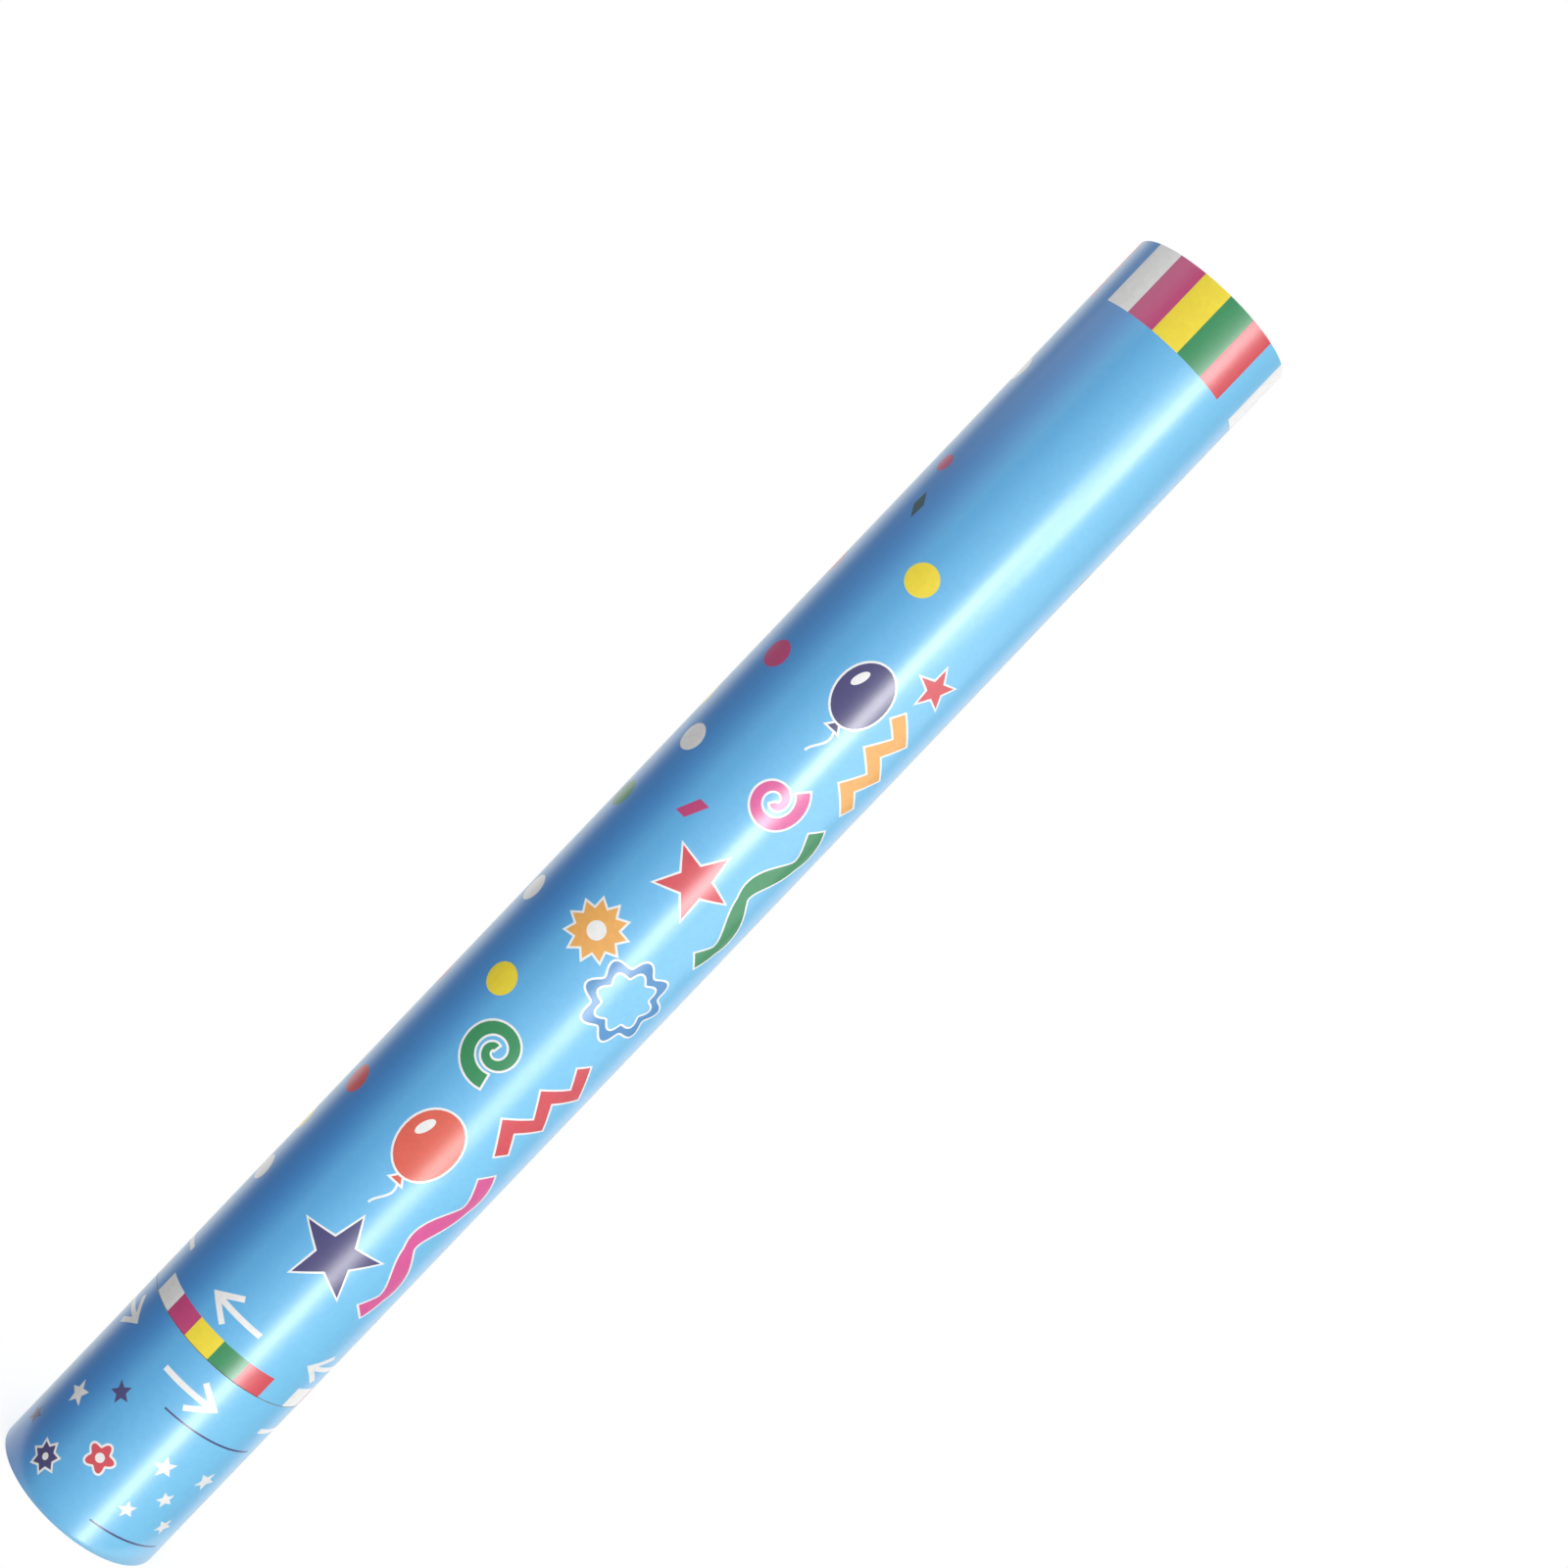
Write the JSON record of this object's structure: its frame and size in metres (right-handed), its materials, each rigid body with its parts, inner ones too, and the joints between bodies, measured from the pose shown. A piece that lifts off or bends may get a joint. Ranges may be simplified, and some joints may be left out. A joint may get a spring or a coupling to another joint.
{
  "type": "confetti popper",
  "caption": "Twist-to-fire confetti popper: printed paper barrel on a turning grip whose cam lifts a sealed plug from an air tank, throwing tissue confetti out of the muzzle.",
  "frame": {"origin": "middle of the base, on the plane that it stands on", "axes": "+Z along the tube towards the muzzle; -Y is the printed front"},
  "size_m": [0.047, 0.047, 0.4],
  "materials": {
    "board": "matte",
    "printed_film": "gloss",
    "cap_plastic": "satin",
    "tank_aluminium": "satin",
    "head_plastic": "satin",
    "seal_rubber": "matte",
    "cam_plastic": "satin",
    "key_plastic": "satin",
    "plug_plastic": "satin",
    "pin_steel": "satin",
    "wad_felt": "matte",
    "lid_card": "matte",
    "valve_brass": "satin",
    "poppet_rubber": "matte",
    "spring_steel": "satin",
    "retainer_plastic": "satin",
    "tissue_red": "matte",
    "tissue_yellow": "matte",
    "tissue_green": "matte",
    "tissue_pink": "matte",
    "tissue_white": "matte"
  },
  "bodies": {
    "grip": {"grip_tube": "board", "grip_label": "printed_film", "base_cap": "cap_plastic", "air_tank": "tank_aluminium", "tank_head": "head_plastic", "head_seal": "seal_rubber", "cam_sleeve": "cam_plastic", "fill_valve_body": "valve_brass", "fill_valve_gasket": "seal_rubber", "fill_valve_nut": "valve_brass", "fill_valve_spring": "spring_steel", "fill_valve_retainer": "retainer_plastic"},
    "barrel": {"barrel_tube": "board", "barrel_label": "printed_film", "coupler_tube": "board", "key_ring": "key_plastic"},
    "plug": {"release_plug": "plug_plastic", "plug_seal": "seal_rubber", "cross_pin": "pin_steel"},
    "charge": {"pusher_wad": "wad_felt", "confetti_red": "tissue_red", "confetti_yellow": "tissue_yellow", "confetti_green": "tissue_green", "confetti_pink": "tissue_pink", "confetti_white": "tissue_white"},
    "lid": {"muzzle_lid": "lid_card"},
    "poppet": {"fill_valve_poppet": "poppet_rubber"}
  },
  "joints": [
    {"name": "twist", "type": "hinge", "parent": "grip", "child": "barrel", "pos_m": [0, 0, 0.0534], "axis": [0, 0, -1], "range_deg": [0, 90]},
    {"name": "plug_lift", "type": "slide", "parent": "barrel", "child": "plug", "axis": [0, 0, 1], "range_m": [0, 0.007]},
    {"name": "shot", "type": "slide", "parent": "barrel", "child": "charge", "axis": [0, 0, 1], "range_m": [0, 0.29]},
    {"name": "lid_off", "type": "slide", "parent": "barrel", "child": "lid", "axis": [0, 0, 1], "range_m": [0, 0.29]},
    {"name": "fill_check", "type": "slide", "parent": "grip", "child": "poppet", "axis": [0, 0, 1], "range_m": [0, 0.0015], "stiffness_N_per_m": 100, "springref_m": -0.002, "deforming": ["fill_valve_spring"]}
  ],
  "couplings": [
    {"joint": "plug_lift", "follows": "twist", "m_per_rad": 0.004456},
    {"joint": "lid_off", "follows": "shot", "ratio": 1}
  ]
}
